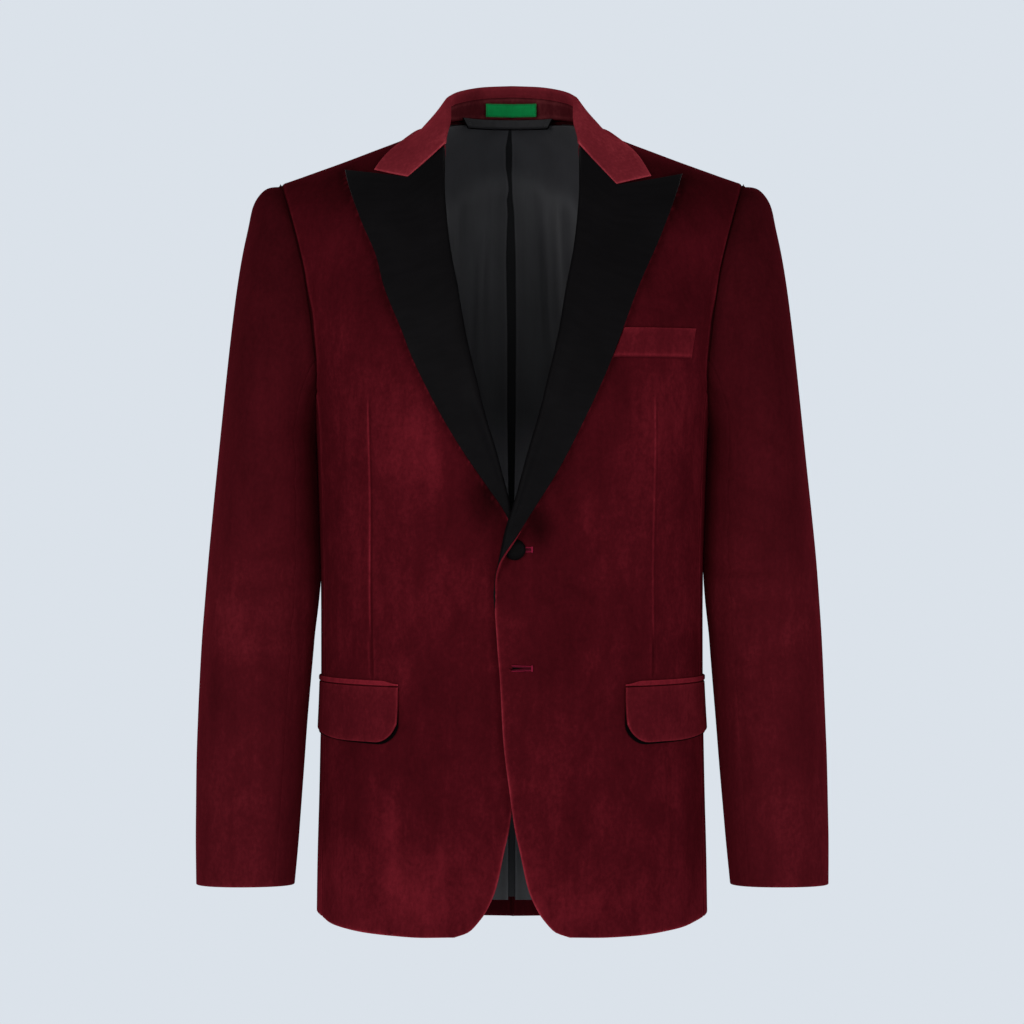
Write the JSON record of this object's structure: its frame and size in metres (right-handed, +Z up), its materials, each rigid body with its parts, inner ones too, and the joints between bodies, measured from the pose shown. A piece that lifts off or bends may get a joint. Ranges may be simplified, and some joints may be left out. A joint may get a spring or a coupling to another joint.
{
  "type": "smoking jacket",
  "caption": "Single-breasted velvet smoking jacket in the hollow form it takes when worn, with satin peak lapels, flap pockets and an open neck, cuffs and hem.",
  "frame": {"origin": "midway between the two points where the shoulder seams meet the neck, where the wearer's shoulders hold it up", "axes": "+Z up, -Y the front, +X the wearer's left"},
  "size_m": [0.584, 0.2716, 0.7882],
  "materials": {
    "velvet": "short cotton pile, deep burgundy, brighter where the pile catches the light",
    "lapel_satin": "black silk-faced satin, soft sheen",
    "lining": "charcoal viscose lining, slight sheen",
    "label": "plain woven green",
    "button_satin": "black satin over a moulded core"
  },
  "bodies": {
    "root": {"front_left": "velvet", "front_right": "velvet", "side_left": "velvet", "side_right": "velvet", "back_left": "velvet", "back_right": "velvet", "sleeve_top_left": "velvet", "sleeve_top_right": "velvet", "sleeve_under_left": "velvet", "sleeve_under_right": "velvet", "flap_left": "velvet", "flap_right": "velvet", "jet_left": "velvet", "jet_right": "velvet", "collar_leaf": "velvet", "collar_stand": "velvet", "breast_welt": "velvet", "lapel_left": "lapel_satin", "lapel_right": "lapel_satin", "lining_back_left": "lining", "lining_back_right": "lining", "lining_pleat": "lining", "hanger_loop": "lining", "neck_label": "label", "button_upper": "button_satin", "button_lower": "button_satin"}
  },
  "joints": []
}
